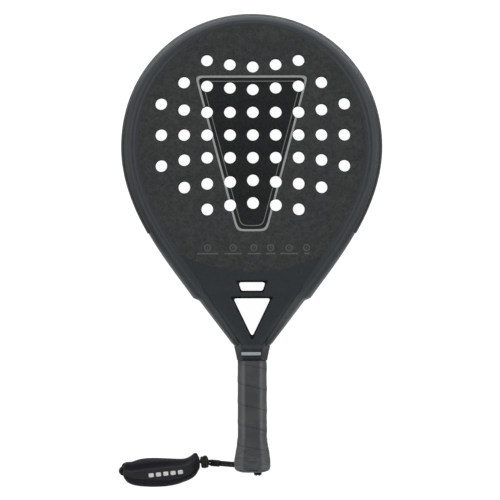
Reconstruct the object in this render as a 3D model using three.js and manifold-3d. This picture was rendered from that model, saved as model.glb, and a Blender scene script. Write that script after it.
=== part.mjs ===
// Padel racket with its wrist strap, lying flat with the front face up.
// Millimetres. X runs across the head, Y toward the head's tip and Z up from the resting surface.
// The origin is the bottom centre of the racket's own box, measured without the strap.

import * as THREE from 'three';
import { mergeVertices } from 'three/addons/utils/BufferGeometryUtils.js';
import Module from 'manifold-3d';

const wasm = await Module();
wasm.setup();

// Driving dimensions
const RACKET_LENGTH = 455;
const THICKNESS = 38;
const MID = THICKNESS / 2;
const TIP_Y = RACKET_LENGTH / 2;
const BUTT_Y = -RACKET_LENGTH / 2;
const GAP = 0.3;
const CONTACT = 0.05;

// Head and frame tube
const PROTECTOR_THICKNESS = 0.8;
const PROTECTOR_GAP = 0.2;
const FRAME_HALF_WIDTH = 128.6;
const FRAME_TIP_Y = TIP_Y - PROTECTOR_THICKNESS - PROTECTOR_GAP;
const WIDEST_Y = 95.5;
const PROTECTOR_END_Y = 9.2;
const FRAME_WALL = 1.6;
const FRAME_SIDE_WIDTH = 16.3;
const FRAME_TIP_WIDTH = 10;
const STEP_DEPTH = 2.9;

// Hitting faces and foam core
const SKIN_THICKNESS = 1.2;
const FACE_ARC_RADIUS = 150;
const FACE_BOTTOM_Y = -28.5;
const HOLE_DIAMETER = 11.7;
const HOLE_PITCH_X = 22.7;
const HOLE_MIDDLE_X = 1.2;
const HOLE_MIDDLE_Y = 107.5;
// For each column outward from the middle: how far its holes lie above and below the middle row.
const HOLE_COLUMNS = [[22.5, 45, 67.5], [22.5, 46.6, 69.7], [22.5, 48.4, 73.8], [24.9, 52], [30.7]];

// Bridge and handle
const BRIDGE_WALL = 2;
const BRIDGE_END_Y = -106;
const LEG_OUTER_X = 10.2;
const LEG_HALF_HEIGHT = 9.6;
const LEG_WIDTH = 7.8;
const LEG_TOP_Y = -117;
const LEG_END_Y = -213.5;
const GRIP_HALF_WIDTH = 14.35;
const GRIP_HALF_DEPTH = 13.9;
const WRAP_THICKNESS = 1.8;
const WRAP_TOP_Y = -116;
const CAP_TOP_Y = -190;

// Wrist strap
const CORD_DIAMETER = 2.8;
const CORD_SIDES = 8;
const CORD_EXIT_X = 5.3;
const COVER_THICKNESS = 0.9;
const CORD_ROOM_END_Y = -224;
const SLIDER_LENGTH = 9.3;
const SLIDER_CENTRE = [-37.5, -218, 2.95];
const SLIDER_ANGLE = -0.078;

const materials = {
  frame: { color: 0x363b40, roughness: 0.38, metalness: 0.1 },
  bridge: { color: 0x33393e, roughness: 0.42, metalness: 0.1 },
  skin: { color: 0x393b3a, roughness: 0.75, metalness: 0 },
  foam: { color: 0x1c1c1e, roughness: 0.9, metalness: 0 },
  protector: { color: 0x4a4f52, roughness: 0.3, metalness: 0 },
  pallet: { color: 0x2a2a2a, roughness: 0.7, metalness: 0 },
  grip: { color: 0x505254, roughness: 0.6, metalness: 0 },
  collar: { color: 0x2c3136, roughness: 0.55, metalness: 0 },
  cap: { color: 0x3c3e40, roughness: 0.55, metalness: 0 },
  cord: { color: 0x1b1c1e, roughness: 0.85, metalness: 0 },
  slider: { color: 0x2c2d2f, roughness: 0.45, metalness: 0 },
  fabric: { color: 0x26282c, roughness: 0.85, metalness: 0 },
};

const racket = new THREE.Group();

function addPart(name, geometry, material) {
  const mesh = new THREE.Mesh(geometry, new THREE.MeshStandardMaterial(materials[material]));
  mesh.name = name;
  racket.add(mesh);
}

// General helpers

// Straight-line value between [position, value] pairs in rising order, held beyond both ends.
function interpolate(position, pairs) {
  if (position <= pairs[0][0]) return pairs[0][1];
  for (let i = 1; i < pairs.length; i += 1) {
    const [x0, y0] = pairs[i - 1];
    const [x1, y1] = pairs[i];
    if (position <= x1) return y0 + ((y1 - y0) * (position - x0)) / (x1 - x0);
  }
  return pairs[pairs.length - 1][1];
}

function signedVolume(positions, triangles) {
  let volume = 0;
  const [a, b, c] = [new THREE.Vector3(), new THREE.Vector3(), new THREE.Vector3()];
  for (let i = 0; i < triangles.length; i += 3) {
    a.fromArray(positions, triangles[i] * 3);
    b.fromArray(positions, triangles[i + 1] * 3);
    c.fromArray(positions, triangles[i + 2] * 3);
    volume += a.dot(b.cross(c)) / 6;
  }
  return volume;
}

// A closed mesh from shared points and triangles, turned so that its faces point out.
function closedGeometry(positions, triangles) {
  const outward = signedVolume(positions, triangles) > 0;
  const index = outward ? triangles : [...triangles].reverse();
  const geometry = new THREE.BufferGeometry();
  geometry.setAttribute('position', new THREE.Float32BufferAttribute(positions, 3));
  geometry.setIndex(index);
  geometry.computeVertexNormals();
  return geometry;
}

// Faces across a counter-clockwise outline, each face counter-clockwise too.
function flatFaces(outline) {
  const points = outline.map(([u, v]) => new THREE.Vector2(u, v));
  return THREE.ShapeUtils.triangulateShape(points, []).map(([a, b, c]) => {
    const turn = points[b].clone().sub(points[a]).cross(points[c].clone().sub(points[a]));
    return turn > 0 ? [a, b, c] : [a, c, b];
  });
}

// A solid through a row of outlines of [u, v] points; place(i, u, v) puts a point of outline i in space.
// With bores, a second row of outlines with as many points, it is a tube that is open at both ends.
function loft(outlines, place, bores = null) {
  const count = outlines[0].length;
  const lastRing = (outlines.length - 1) * count;
  const positions = [];
  const triangles = [];
  const addSkin = (rows, inside) => {
    const start = positions.length / 3;
    rows.forEach((row, i) => row.forEach(([u, v]) => positions.push(...place(i, u, v).toArray())));
    for (let i = 0; i + 1 < rows.length; i += 1) {
      for (let j = 0; j < count; j += 1) {
        const a = start + i * count + j;
        const b = start + i * count + ((j + 1) % count);
        const [p, q] = inside ? [b, a] : [a, b];
        triangles.push(p, q, q + count, p, q + count, p + count);
      }
    }
    return start;
  };
  const outer = addSkin(outlines, false);
  if (bores) {
    const inner = addSkin(bores, true);
    for (let j = 0; j < count; j += 1) {
      const k = (j + 1) % count;
      triangles.push(outer + j, inner + j, inner + k, outer + j, inner + k, outer + k);
      const [a, b] = [outer + lastRing + j, outer + lastRing + k];
      const [c, d] = [inner + lastRing + j, inner + lastRing + k];
      triangles.push(a, d, c, a, b, d);
    }
  } else {
    const far = flatFaces(outlines[outlines.length - 1]);
    flatFaces(outlines[0]).forEach(([a, b, c]) => triangles.push(a, c, b));
    far.forEach(([a, b, c]) => triangles.push(lastRing + a, lastRing + b, lastRing + c));
  }
  return closedGeometry(positions, triangles);
}

// The outline moved inward by a distance, for counter-clockwise outlines of [u, v] points.
function inset(outline, distance) {
  const count = outline.length;
  return outline.map(([u, v], i) => {
    const here = new THREE.Vector2(u, v);
    const before = new THREE.Vector2(...outline[(i + count - 1) % count]);
    const after = new THREE.Vector2(...outline[(i + 1) % count]);
    const [arriving, leaving] = [here.clone().sub(before).normalize(), after.sub(here).normalize()];
    const [n0, n1] = [arriving, leaving].map((d) => new THREE.Vector2(-d.y, d.x));
    const miter = n0.clone().add(n1).multiplyScalar(distance / (1 + n0.dot(n1)));
    return [u + miter.x, v + miter.y];
  });
}

function circlePoints(x, y, radius, sides) {
  return Array.from({ length: sides }, (_, i) => {
    const angle = (2 * Math.PI * (i + 0.5)) / sides;
    return new THREE.Vector2(x + radius * Math.cos(angle), y + radius * Math.sin(angle));
  });
}

// A flat plate between two heights.
function plate(outline, holes, bottom, top) {
  const shape = new THREE.Shape(outline);
  holes.forEach((hole) => shape.holes.push(new THREE.Path(hole)));
  const depth = top - bottom;
  const geometry = new THREE.ExtrudeGeometry(shape, { depth, bevelEnabled: false, curveSegments: 1 });
  return geometry.translate(0, 0, bottom);
}

function box(x0, x1, y0, y1, z0, z1) {
  const geometry = new THREE.BoxGeometry(x1 - x0, y1 - y0, z1 - z0);
  return geometry.translate((x0 + x1) / 2, (y0 + y1) / 2, (z0 + z1) / 2);
}

function cordTube(points, steps, diameter = CORD_DIAMETER) {
  const route = new THREE.CatmullRomCurve3(points.map((p) => new THREE.Vector3(...p)));
  const section = new THREE.Shape(circlePoints(0, 0, diameter / 2, CORD_SIDES));
  return new THREE.ExtrudeGeometry(section, { steps, extrudePath: route, curveSegments: 1 });
}

function toSolid(geometry) {
  const bare = geometry.clone();
  bare.deleteAttribute('normal');
  bare.deleteAttribute('uv');
  const merged = mergeVertices(bare, 1e-4);
  return new wasm.Manifold(new wasm.Mesh({
    numProp: 3,
    vertProperties: new Float32Array(merged.attributes.position.array),
    triVerts: new Uint32Array(merged.index.array),
  }));
}

function fromSolid(solid) {
  const { vertProperties, triVerts } = solid.getMesh();
  return closedGeometry(Array.from(vertProperties), Array.from(triVerts));
}

function subtract(geometry, ...cutters) {
  return fromSolid(cutters.reduce((solid, cutter) => solid.subtract(toSolid(cutter)), toSolid(geometry)));
}

function intersect(geometry, other) {
  return fromSolid(toSolid(geometry).intersect(toSolid(other)));
}

// Outline of the frame, from the right leg's end up to the tip, and the mirror image of it

const v2 = (x, y) => new THREE.Vector2(x, y);
const outlineCurves = [
  { curve: new THREE.LineCurve(v2(LEG_OUTER_X, LEG_END_Y), v2(LEG_OUTER_X, LEG_TOP_Y)), steps: 1 },
  {
    curve: new THREE.CubicBezierCurve(
      v2(LEG_OUTER_X, LEG_TOP_Y),
      v2(LEG_OUTER_X, -109),
      v2(18.9, -105.5),
      v2(23.1, -99.9),
    ),
    steps: 6,
  },
  { curve: new THREE.LineCurve(v2(23.1, -99.9), v2(53.3, -60.2)), steps: 2 },
  { curve: new THREE.LineCurve(v2(53.3, -60.2), v2(59.6, -52.3)), steps: 3 },
  {
    curve: new THREE.CubicBezierCurve(
      v2(59.6, -52.3),
      v2(78.6, -25),
      v2(FRAME_HALF_WIDTH, 31.8),
      v2(FRAME_HALF_WIDTH, WIDEST_Y),
    ),
    steps: 14,
  },
  {
    curve: new THREE.CubicBezierCurve(
      v2(FRAME_HALF_WIDTH, WIDEST_Y),
      v2(FRAME_HALF_WIDTH, 169.5),
      v2(72.7, FRAME_TIP_Y),
      v2(0, FRAME_TIP_Y),
    ),
    steps: 14,
  },
];

// Stations hold a point of the outline and the direction out of the racket there.
function rightStations() {
  const stations = [];
  outlineCurves.forEach(({ curve, steps }, part) => {
    const first = part === 0 ? 0 : 1;
    for (let i = first; i <= steps; i += 1) {
      const tangent = curve.getTangent(i / steps);
      stations.push({ point: curve.getPoint(i / steps), out: v2(tangent.y, -tangent.x) });
    }
  });
  return stations;
}

function wholeOutline() {
  const right = rightStations();
  const mirror = ({ point, out }) => ({ point: v2(-point.x, point.y), out: v2(-out.x, out.y) });
  return [...right, ...right.slice(0, -1).map(mirror).reverse()];
}

function frameWidth(y) {
  if (y > WIDEST_Y) {
    const rise = (y - WIDEST_Y) / (FRAME_TIP_Y - WIDEST_Y);
    return FRAME_SIDE_WIDTH - (FRAME_SIDE_WIDTH - FRAME_TIP_WIDTH) * rise ** 3;
  }
  return interpolate(y, [[LEG_TOP_Y, LEG_WIDTH], [-100, 10.5], [-60, 13.5], [-5, FRAME_SIDE_WIDTH]]);
}

// How far the throat's sides are set in below the step where the head's rim ends.
function sideRecess(y) {
  return interpolate(y, [[LEG_TOP_Y, 0], [-104, STEP_DEPTH], [-60, STEP_DEPTH], [-52.5, 0]]);
}

function halfHeight(y) {
  return interpolate(y, [[LEG_TOP_Y, LEG_HALF_HEIGHT], [-100, 14.6], [-48, MID]]);
}

function along(station, inward, z) {
  return new THREE.Vector3(
    station.point.x - station.out.x * inward,
    station.point.y - station.out.y * inward,
    MID + z,
  );
}

// Frame section: distance in from the rim and height, as shares of the width and of the half height.
const SECTION_SIDE = [[1, 1], [0.56, 1], [0.28, 0.92], [0.09, 0.72], [0, 0.45]];
const FRAME_SECTION = [...SECTION_SIDE, ...SECTION_SIDE.map(([w, h]) => [w, -h]).reverse()];

function frameSection(y) {
  const recess = sideRecess(y);
  const width = frameWidth(y) - recess;
  return FRAME_SECTION.map(([w, h]) => [recess + w * width, h * halfHeight(y)]);
}

function frameTube() {
  const stations = wholeOutline();
  const outer = stations.map(({ point }) => frameSection(point.y));
  const bores = outer.map((section) => inset(section, FRAME_WALL));
  return loft(outer, (i, inward, z) => along(stations[i], inward, z), bores);
}

function headProtector() {
  const stations = wholeOutline().filter(({ point }) => point.y > PROTECTOR_END_Y);
  const [near, far, reach] = [-PROTECTOR_GAP, -PROTECTOR_GAP - PROTECTOR_THICKNESS, 8.3];
  const section = [[far, -reach], [near, -reach], [near, reach], [far, reach]];
  return loft(stations.map(() => section), (i, inward, z) => along(stations[i], inward, z));
}

// The line along the frame's inner side, on the right, from the bridge's lower end up to the tip.
function innerLine(gap) {
  return rightStations()
    .map((station) => along(station, frameWidth(station.point.y) + gap, 0))
    .map((p) => v2(p.x, p.y))
    .filter((p) => p.y > BRIDGE_END_Y);
}

const ARC_CENTRE = v2(0, FACE_BOTTOM_Y + FACE_ARC_RADIUS);

// Splits the inner line where it crosses the arc along the bottom of the hitting face.
function splitAtArc(line, radius) {
  const outside = (p) => p.distanceTo(ARC_CENTRE) - radius;
  const cut = line.findIndex((p) => outside(p) <= 0);
  const share = outside(line[cut - 1]) / (outside(line[cut - 1]) - outside(line[cut]));
  const crossing = line[cut - 1].clone().lerp(line[cut], share);
  return { below: [...line.slice(0, cut), crossing], above: [crossing, ...line.slice(cut)] };
}

function arcPoints(from, radius, steps) {
  const reach = Math.atan2(from.x, ARC_CENTRE.y - from.y);
  return Array.from({ length: steps - 1 }, (_, i) => {
    const angle = reach * (1 - (2 * (i + 1)) / steps);
    return v2(radius * Math.sin(angle), ARC_CENTRE.y - radius * Math.cos(angle));
  });
}

const mirrorX = (points) => points.map((p) => v2(-p.x, p.y)).reverse();

function faceOutline() {
  const { above } = splitAtArc(innerLine(GAP), FACE_ARC_RADIUS);
  const right = above.slice(0, -1);
  const tip = above[above.length - 1];
  return [...right, tip, ...mirrorX(right), ...arcPoints(right[0], FACE_ARC_RADIUS, 16).reverse()];
}

function bridgeOutline(shrink) {
  const radius = FACE_ARC_RADIUS + GAP + shrink;
  const { below } = splitAtArc(innerLine(GAP + shrink), radius);
  const arc = arcPoints(below[below.length - 1], radius, 12);
  return [...below, ...arc, ...mirrorX(below)];
}

function holeCentres() {
  const centres = [];
  HOLE_COLUMNS.forEach((offsets, column) => {
    const sides = column === 0 ? [0] : [-column, column];
    sides.forEach((side) => {
      [0, ...offsets, ...offsets.map((y) => -y)].forEach((y) => {
        centres.push(v2(HOLE_MIDDLE_X + side * HOLE_PITCH_X, HOLE_MIDDLE_Y + y));
      });
    });
  });
  return centres;
}

const faceHoles = (sides) => holeCentres().map((c) => circlePoints(c.x, c.y, HOLE_DIAMETER / 2, sides));

// Corners of an outline, rounded with arcs of three points.
function rounded(corners, radius) {
  const points = [];
  corners.forEach((corner, i) => {
    const before = corners[(i + corners.length - 1) % corners.length];
    const after = corners[(i + 1) % corners.length];
    const [back, ahead] = [before.clone().sub(corner).normalize(), after.clone().sub(corner).normalize()];
    const half = Math.acos(back.dot(ahead)) / 2;
    const reach = radius / Math.tan(half);
    const curve = new THREE.QuadraticBezierCurve(
      corner.clone().addScaledVector(back, reach),
      corner,
      corner.clone().addScaledVector(ahead, reach),
    );
    points.push(...curve.getPoints(3));
  });
  return points;
}

// The two openings through the bridge: a slot above a crossbar, and a triangle below it.
function bridgeOpenings(grow) {
  const slot = rounded([v2(-10.5, -47), v2(10.5, -47), v2(13.5, -38.5), v2(-13.5, -38.5)], 2.5);
  const triangle = rounded([v2(0, -93), v2(18.5, -54.5), v2(-18.5, -54.5)], 2.2);
  return [slot, triangle].map((opening) => {
    const moved = inset(opening.map((p) => [p.x, p.y]), -grow);
    return moved.map(([x, y]) => v2(x, y));
  });
}

// The side view of the throat, which cuts the bridge down toward the handle.
function throatEnvelope(shrink) {
  const ys = [BRIDGE_END_Y - 5, -100, -48, 20];
  const upper = ys.map((y) => [y, halfHeight(y) - shrink]);
  const profile = [...upper.map(([y, z]) => [y, -z]), ...upper.reverse()];
  return loft([profile, profile], (i, y, z) => {
    const side = (i === 0 ? -1 : 1) * FRAME_HALF_WIDTH;
    return new THREE.Vector3(side, y, MID + z);
  });
}

function bridgeCore() {
  const clearance = BRIDGE_WALL + GAP;
  const whole = plate(bridgeOutline(clearance), bridgeOpenings(clearance), CONTACT, THICKNESS - CONTACT);
  return intersect(whole, throatEnvelope(clearance));
}

// The front half of the bridge's skin: a tray with a wall along every edge and round both openings.
function bridgeShell() {
  const half = plate(bridgeOutline(0), bridgeOpenings(0), MID + CONTACT, THICKNESS + 1);
  const hollow = plate(bridgeOutline(BRIDGE_WALL), bridgeOpenings(BRIDGE_WALL), MID - 1, THICKNESS + 1);
  const skin = toSolid(half).intersect(toSolid(throatEnvelope(0)));
  const inside = toSolid(hollow).intersect(toSolid(throatEnvelope(BRIDGE_WALL)));
  return fromSolid(skin.subtract(inside));
}

function mirroredDown(geometry) {
  const flipped = geometry.clone().translate(0, 0, -MID).scale(1, 1, -1).translate(0, 0, MID);
  return closedGeometry(Array.from(flipped.attributes.position.array), Array.from(flipped.index.array));
}

// Handle

// An octagon of [x, z] points, from its half width, its half depth and how much of each is flat.
function octagon(halfWidth, halfDepth, flat) {
  const quarter = [[halfWidth, flat * halfDepth], [flat * halfWidth, halfDepth]];
  const upper = [...quarter, ...quarter.map(([x, z]) => [-x, z]).reverse()];
  return [...upper, ...upper.map(([x, z]) => [-x, -z])];
}

// A loft along the handle: rows of [y, half width, half depth], with rows for its bore if it has one.
function handleLoft(rows, boreRows = null, flat = 0.5) {
  const outlines = rows.map(([, width, depth]) => octagon(width, depth, flat));
  const bores = boreRows && boreRows.map(([width, depth]) => octagon(width, depth, flat));
  return loft(outlines, (i, x, z) => new THREE.Vector3(x, rows[i][0], MID + z), bores);
}

const PAD_WIDTH = GRIP_HALF_WIDTH - WRAP_THICKNESS;
const PAD_DEPTH = GRIP_HALF_DEPTH - WRAP_THICKNESS;
// Flare of the butt under the wrap, as [y, half width, half depth].
const FLARE = [
  [CAP_TOP_Y, PAD_WIDTH, PAD_DEPTH],
  [-203, 13.8, 12.6],
  [-213, 15.2, 13.3],
  [-217, 15.7, 13.5],
  [-223, 15.5, 13.3],
];

function gripWrap() {
  const clearance = WRAP_THICKNESS - GAP;
  const bores = [[WRAP_TOP_Y, PAD_WIDTH, PAD_DEPTH], ...FLARE];
  const outer = bores.map(([y, width, depth]) => [y, width + WRAP_THICKNESS, depth + WRAP_THICKNESS]);
  return handleLoft(outer, outer.map(([, width, depth]) => [width - clearance, depth - clearance]));
}

// The room that both legs of the frame take up inside the handle.
function legCavity(y0, y1) {
  const rising = SECTION_SIDE.slice(1).map(([w, h]) => [LEG_OUTER_X - w * LEG_WIDTH, h * LEG_HALF_HEIGHT]);
  const right = [...rising.map(([x, z]) => [x, -z]), ...rising.reverse()];
  const both = [...right, ...right.map(([x, z]) => [-x, z]).reverse()];
  const profile = inset(both, -GAP);
  return loft([profile, profile], (i, x, z) => new THREE.Vector3(x, i === 0 ? y0 : y1, MID + z));
}

function handlePallet() {
  const [top, bottom] = [LEG_TOP_Y - 1, CAP_TOP_Y + GAP];
  const whole = handleLoft([[bottom, PAD_WIDTH, PAD_DEPTH], [top, PAD_WIDTH, PAD_DEPTH]]);
  const lowerHalf = box(-20, 20, bottom - 1, top + 1, 0, MID + CONTACT);
  return subtract(whole, legCavity(bottom - 1, top + 1), lowerHalf);
}

function buttCap() {
  const end = [
    [BUTT_Y, 8.5, 6.6],
    [-227.1, 11.6, 9.4],
    [-226.2, 14.2, 11.8],
    [-224.6, 16.1, 13.6],
  ];
  const solid = handleLoft([...end, ...[...FLARE].reverse()]);
  const cordRoom = box(-8, 10.2, CORD_ROOM_END_Y, LEG_END_Y, MID - 6, MID + 6);
  const mouth = rounded([v2(0.7, -5), v2(9.9, -5), v2(9.9, 2.1), v2(0.7, 2.1)], 1.8);
  const exit = plate(mouth, [], -CORD_ROOM_END_Y - 1, -BUTT_Y + 1);
  exit.rotateX(Math.PI / 2).translate(0, 0, MID);
  return subtract(solid, legCavity(LEG_END_Y - GAP, CAP_TOP_Y + 1), cordRoom, exit);
}

// The collar, a tapered sleeve that covers where the throat runs into the grip.
function gripCollar() {
  const outer = [[-115.8, 15, 14.6], [-111, 15.9, 15.1], [-107, 16.7, 15.6], [-103, 17.7, 16.1]];
  const bore = [[13.5, 13], [14.2, 13.6], [15.7, 14.4], [17.3, 15.2]];
  return handleLoft(outer, bore, 0.62);
}

// Wrist strap

// Both strands of the cord leave the cap side by side and turn straight down behind the butt.
function cordRoot(x) {
  return cordTube([
    [x, -216, 19],
    [x, -219.6, 19],
    [x, -223.5, 19],
    [x, -226.5, 18.2],
    [x, -228.7, 16],
    [x, -229.5, 13],
    [x, -229.5, 9],
  ], 12);
}

// From below the butt's end each strand curls under the butt and runs straight to the knot.
const STRAND_ROUTES = {
  cord_strand_left: [
    [3.75, -229.5, 8.6],
    [3.75, -229.5, 7.6],
    [3.28, -228.85, 4.6],
    [1.99, -227.07, 2.4],
    [0.22, -224.65, 1.6],
    [-1.6, -223.1, 1.6],
    [-4.15, -222.2, 1.6],
    [-8, -221.9, 1.75],
    [-13, -221.5, 2.4],
    [-19, -221, 2.9],
    [-31, -219.9, 2.95],
    [-43, -218.95, 2.95],
  ],
  cord_strand_right: [
    [6.85, -229.5, 8.6],
    [6.85, -229.5, 7.6],
    [6.66, -228.72, 4.6],
    [6.12, -226.59, 2.4],
    [5.4, -223.68, 1.6],
    [3.5, -220.8, 1.6],
    [0.06, -219.15, 1.6],
    [-4, -218.8, 1.6],
    [-8, -218.5, 1.75],
    [-13, -218.15, 2.4],
    [-19, -217.7, 2.9],
    [-31, -216.85, 2.95],
    [-43, -216, 2.95],
  ],
};

// From the knot through the wristband's sleeve, round its far end and back underneath it.
const LOOP_ROUTE = [
  [-51.9, -216.6, 7.2],
  [-54.5, -217.6, 7.6],
  [-60, -220.6, 7.9],
  [-70, -224.4, 8],
  [-84, -226.3, 8.2],
  [-100, -226.6, 8.3],
  [-112, -225.6, 8.3],
  [-121, -223.2, 8.3],
  [-126.3, -221.8, 8.3],
  [-130, -223, 7.3],
  [-131.6, -225.9, 5],
  [-130, -228.8, 2.7],
  [-126.3, -230, 1.7],
  [-120, -230.3, 1.65],
  [-110, -229.5, 1.65],
  [-95, -227.9, 1.65],
  [-80, -226.2, 1.65],
  [-68, -223.8, 1.65],
  [-60, -220.6, 1.7],
  [-55, -218.3, 2.2],
  [-52, -217.3, 2.9],
];

function cordKnot() {
  const knot = new THREE.SphereGeometry(1, 14, 10).scale(4.2, 6.1, 4.7).translate(-47.4, -216.9, 5);
  return fromSolid(toSolid(knot));
}

// A bead with one oval bore that pinches both strands.
function cordSlider() {
  const profile = (halfWidth, halfHeight) => rounded([
    v2(-halfWidth, -halfHeight),
    v2(halfWidth, -halfHeight),
    v2(halfWidth, halfHeight),
    v2(-halfWidth, halfHeight),
  ], halfHeight * 0.9);
  const bead = new THREE.Shape(profile(3.9, 2.5));
  bead.holes.push(new THREE.Path(profile(3.25, 1.75)));
  const options = { depth: SLIDER_LENGTH, bevelEnabled: false, curveSegments: 1 };
  const slider = new THREE.ExtrudeGeometry(bead, options);
  slider.translate(0, 0, -SLIDER_LENGTH / 2).rotateZ(Math.PI / 2).rotateY(Math.PI / 2);
  return slider.rotateZ(SLIDER_ANGLE).translate(...SLIDER_CENTRE);
}

// Wristband stations: x, middle y, half width, and how far the underside lifts toward the ends.
const BAND_STATIONS = [
  [-128.6, -225, 6.5, 1],
  [-125.5, -226.6, 9.8, 0.7],
  [-118, -227.8, 12, 0.15],
  [-108, -227.5, 13.6, 0],
  [-97, -227.3, 14, 0],
  [-86, -227.1, 13.6, 0],
  [-76, -226.2, 12.4, 0],
  [-68, -224.6, 11.6, 0],
  [-61, -221.9, 11.6, 0.15],
  [-56, -219.4, 10.2, 0.6],
  [-53.2, -218.2, 7.6, 1],
];

// Section of the band: an arch whose rolled edges rest on the surface, with room for the cord under it.
function bandSection(halfWidth, lift) {
  const foot = 0.4 + 4.2 * lift;
  const arch = 4.4 + 0.3 * lift;
  const top = 12.2 - lift;
  const bulge = [[0.97, 0.09], [1, 0.32], [0.95, 0.6], [0.76, 0.82], [0.42, 0.95]];
  const side = bulge.map(([u, rise]) => [u * halfWidth, foot + rise * (top - foot)]);
  const under = [[0.62, foot + 0.1], [0.85, foot]].map(([u, z]) => [u * halfWidth, z]);
  const roof = [[0, arch], [0.48 * halfWidth, arch - 0.3 * (1 - lift)]];
  const right = [...roof.slice(1), ...under, ...side];
  const left = right.map(([u, z]) => [-u, z]).reverse();
  return [roof[0], ...right, [0, top], ...left];
}

// A loft along the band, set in from its surface. With a wall it is a sleeve that is open at both ends.
function bandLoft(stations, insetBy, wall = null) {
  const sections = (depth) => {
    const whole = stations.map(([, , halfWidth, lift]) => bandSection(halfWidth, lift));
    return whole.map((section) => inset(section, depth));
  };
  const place = (i, u, z) => new THREE.Vector3(stations[i][0], stations[i][1] + u, z);
  return loft(sections(insetBy), place, wall && sections(insetBy + wall));
}

// The pad inside the cover stops short of both of the cover's mouths.
function wristbandFoam() {
  const sleeve = cordTube(LOOP_ROUTE.slice(0, 10), 26, CORD_DIAMETER + 2 * GAP);
  return subtract(bandLoft(BAND_STATIONS.slice(1, -1), COVER_THICKNESS + 2 * GAP), sleeve);
}

// Assembly

const front = THICKNESS - SKIN_THICKNESS;
const foam = plate(faceOutline(), faceHoles(12), SKIN_THICKNESS + CONTACT, front - CONTACT);
addPart('frame_tube', frameTube(), 'frame');
addPart('head_protector', headProtector(), 'protector');
addPart('face_skin_back', plate(faceOutline(), faceHoles(16), 0, SKIN_THICKNESS), 'skin');
addPart('face_skin_front', plate(faceOutline(), faceHoles(16), front, THICKNESS), 'skin');
addPart('face_foam_core', foam, 'foam');
addPart('bridge_front_shell', bridgeShell(), 'bridge');
addPart('bridge_rear_shell', mirroredDown(bridgeShell()), 'bridge');
addPart('bridge_foam_core', bridgeCore(), 'foam');
addPart('handle_filler', box(-2.1, 2.1, LEG_END_Y, LEG_TOP_Y, MID - 9.2, MID + 9.2), 'foam');
addPart('handle_pallet_front', handlePallet(), 'pallet');
addPart('handle_pallet_back', mirroredDown(handlePallet()), 'pallet');
addPart('butt_cap', buttCap(), 'cap');
addPart('grip_wrap', gripWrap(), 'grip');
addPart('grip_collar', gripCollar(), 'collar');
addPart('cord_root_left', cordRoot(CORD_EXIT_X - 1.55), 'cord');
addPart('cord_root_right', cordRoot(CORD_EXIT_X + 1.55), 'cord');
Object.entries(STRAND_ROUTES).forEach(([name, route]) => addPart(name, cordTube(route, 16), 'cord'));
addPart('cord_slider', cordSlider(), 'slider');
addPart('cord_knot', cordKnot(), 'cord');
addPart('wrist_loop_cord', cordTube(LOOP_ROUTE, 48), 'cord');
addPart('wristband_cover', bandLoft(BAND_STATIONS, 0, COVER_THICKNESS), 'fabric');
addPart('wristband_foam', wristbandFoam(), 'foam');

export default racket;
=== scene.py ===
"""A padel racket with its wrist strap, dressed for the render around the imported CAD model.

Lengths are millimetres in the CAD model's frame, and solid() turns them into metres. X runs across
the head, Y toward its tip and Z up from the surface that the racket lies on.
"""

from math import atan2, cos, dist, exp, hypot, pi, radians, sin, sqrt, tan

import bmesh
import bpy
import numpy as np
from mathutils import Matrix, Vector, geometry, noise
from mathutils.bvhtree import BVHTree


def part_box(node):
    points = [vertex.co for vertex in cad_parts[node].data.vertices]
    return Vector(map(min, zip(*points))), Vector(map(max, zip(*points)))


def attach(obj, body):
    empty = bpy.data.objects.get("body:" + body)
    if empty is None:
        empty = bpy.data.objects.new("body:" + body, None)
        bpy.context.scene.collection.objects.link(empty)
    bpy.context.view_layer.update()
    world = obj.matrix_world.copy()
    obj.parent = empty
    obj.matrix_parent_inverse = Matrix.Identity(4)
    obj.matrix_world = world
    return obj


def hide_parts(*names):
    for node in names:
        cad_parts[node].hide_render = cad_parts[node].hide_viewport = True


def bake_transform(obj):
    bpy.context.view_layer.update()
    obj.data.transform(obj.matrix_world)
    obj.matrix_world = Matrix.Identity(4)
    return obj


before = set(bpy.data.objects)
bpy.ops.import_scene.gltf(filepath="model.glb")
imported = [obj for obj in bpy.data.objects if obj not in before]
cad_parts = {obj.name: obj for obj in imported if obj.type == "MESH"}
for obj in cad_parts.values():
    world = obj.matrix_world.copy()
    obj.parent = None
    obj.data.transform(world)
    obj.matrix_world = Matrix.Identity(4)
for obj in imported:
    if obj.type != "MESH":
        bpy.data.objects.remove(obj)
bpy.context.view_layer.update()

MM = 0.001
scene = bpy.context.scene


def added(name, data):
    """A new object in the scene."""
    obj = bpy.data.objects.new(name, data)
    scene.collection.objects.link(obj)
    return obj


def node_box(node):
    """Lowest and highest corners of a CAD node, in millimetres."""
    low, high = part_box(node)
    return np.array(low) / MM, np.array(high) / MM


# Driving dimensions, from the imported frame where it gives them

frame_low, frame_high = node_box("frame_tube")
skin_low, skin_high = node_box("face_skin_front")
HALF_WIDTH, TIP_Y, THICKNESS = frame_high
MID = THICKNESS / 2
LEG_END_Y = frame_low[1]
BUTT_Y = node_box("butt_cap")[0][1]
WRAP_TOP_Y = node_box("grip_wrap")[1][1]
SKIN = skin_high[2] - skin_low[2]
WIDEST_Y = 95.5
STEP_HIGH = (59.6, -52.3)
STEP_LOW = (53.3, -60.2)
THROAT_TOP = (23.1, -99.9)
LEG_X = 10.2
LEG_TOP_Y = -117
LEG_WIDTH = 7.8
LEG_HALF_HEIGHT = 9.6
SIDE_WIDTH = 16.3
TIP_WIDTH = 10
STEP_DEPTH = 2.9
LAP = 0.12
FACE_BOTTOM_Y = -28.5
ARC_RADIUS = 150
ARC_Y = FACE_BOTTOM_Y + ARC_RADIUS
BRIDGE_END_Y = -106
HOLE_RADIUS = 11.7 / 2
HOLE_PITCH_X = 22.7
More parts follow.
